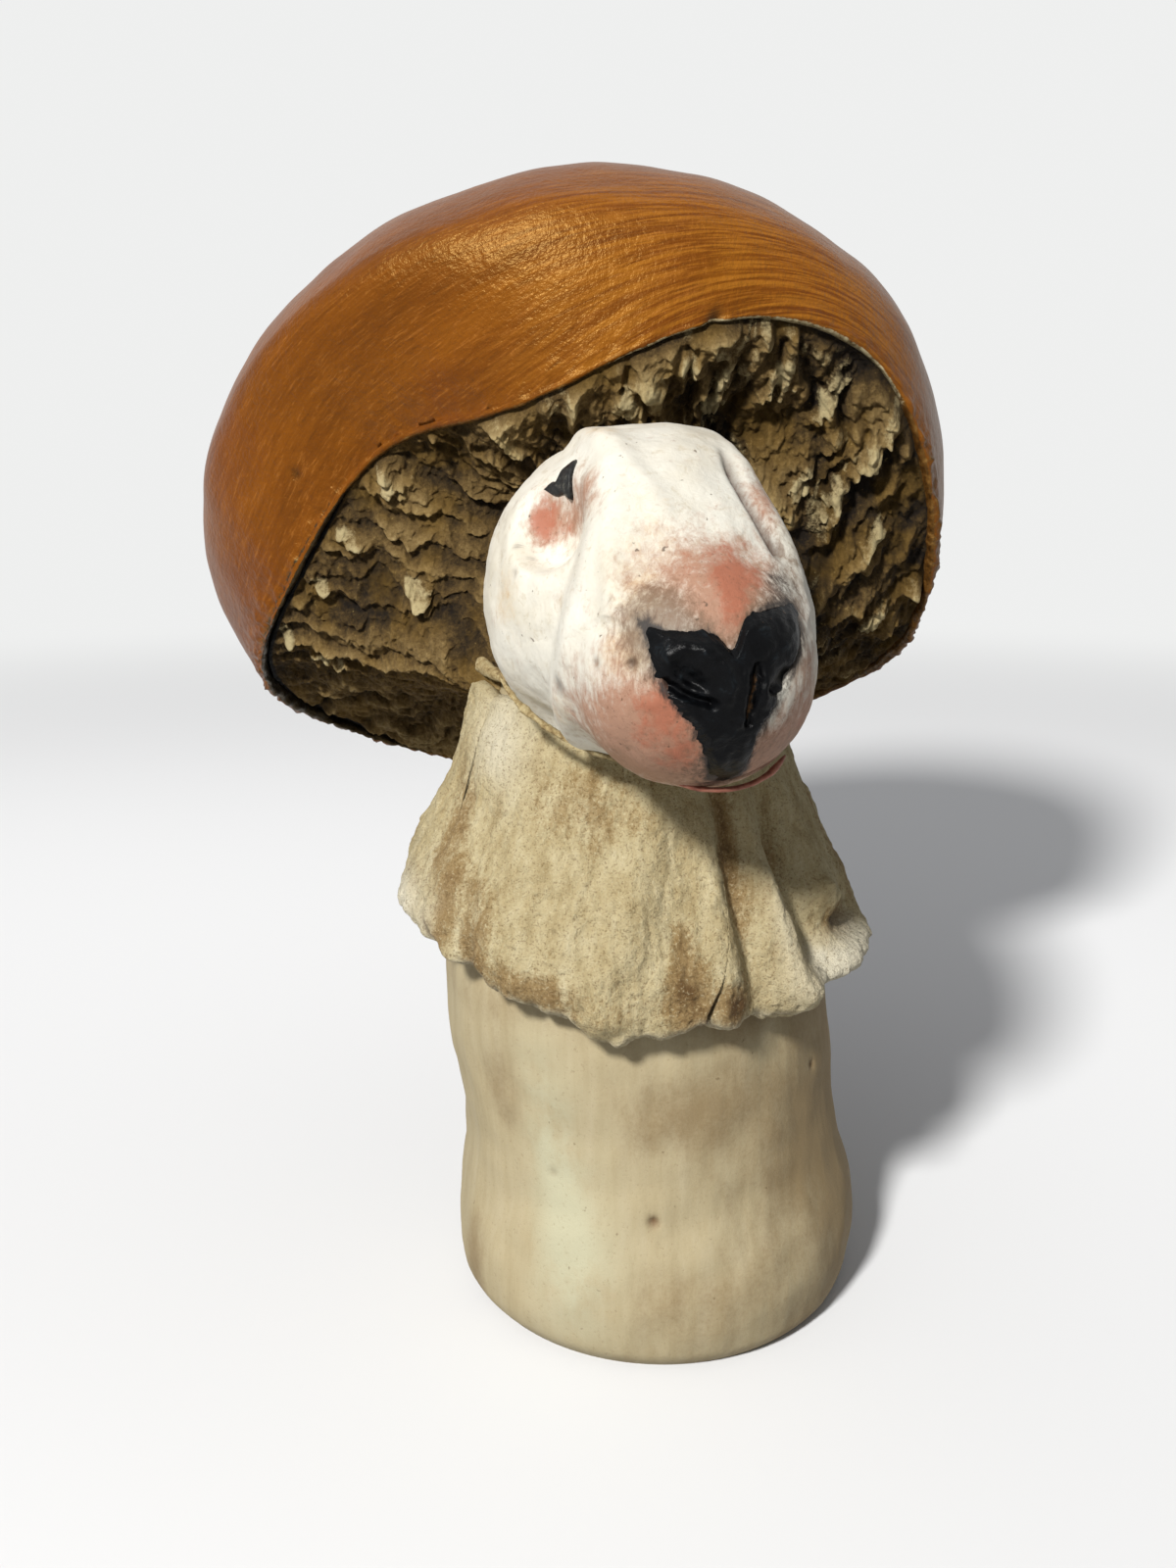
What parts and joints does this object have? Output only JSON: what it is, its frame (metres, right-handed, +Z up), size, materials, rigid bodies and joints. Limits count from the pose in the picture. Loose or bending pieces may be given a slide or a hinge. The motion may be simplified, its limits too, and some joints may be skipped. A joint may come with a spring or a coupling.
{
  "type": "mushroom ornament",
  "caption": "Hand-modelled clay mushroom ornament with a tilted brown cap, rough gills, a frilled skirt and a white dog's head under the cap.",
  "frame": {"origin": "middle of the flat foot, on the surface that the ornament stands on", "axes": "+Z up, -Y the way the dog's head looks, +X to the viewer's right when facing the dog"},
  "size_m": [0.1071, 0.1238, 0.1508],
  "materials": {
    "stem": "matt painted clay with brown stains",
    "skirt": "matt gritty painted clay with brown stains",
    "cap": "brush-painted brown under a satin varnish",
    "gills": "rough torn clay, dark wash, pale dry-brushed crests",
    "head": "satin white paint with salmon pink patches",
    "nose": "glossy black paint",
    "lip": "satin pink paint",
    "eye": "black paint",
    "wood": "bare beech dowel"
  },
  "bodies": {
    "root": {"stem": "stem", "cap_dowel": "wood", "head_peg": "wood", "skirt_front": "skirt", "skirt_right": "skirt", "skirt_back": "skirt", "jaw_roll": "skirt", "neck_roll": "gills", "cap": "cap", "gills": "gills", "head": "head", "nose_pad": "nose", "left_eye": "eye", "right_eye": "eye", "lower_lip": "lip"}
  },
  "joints": []
}
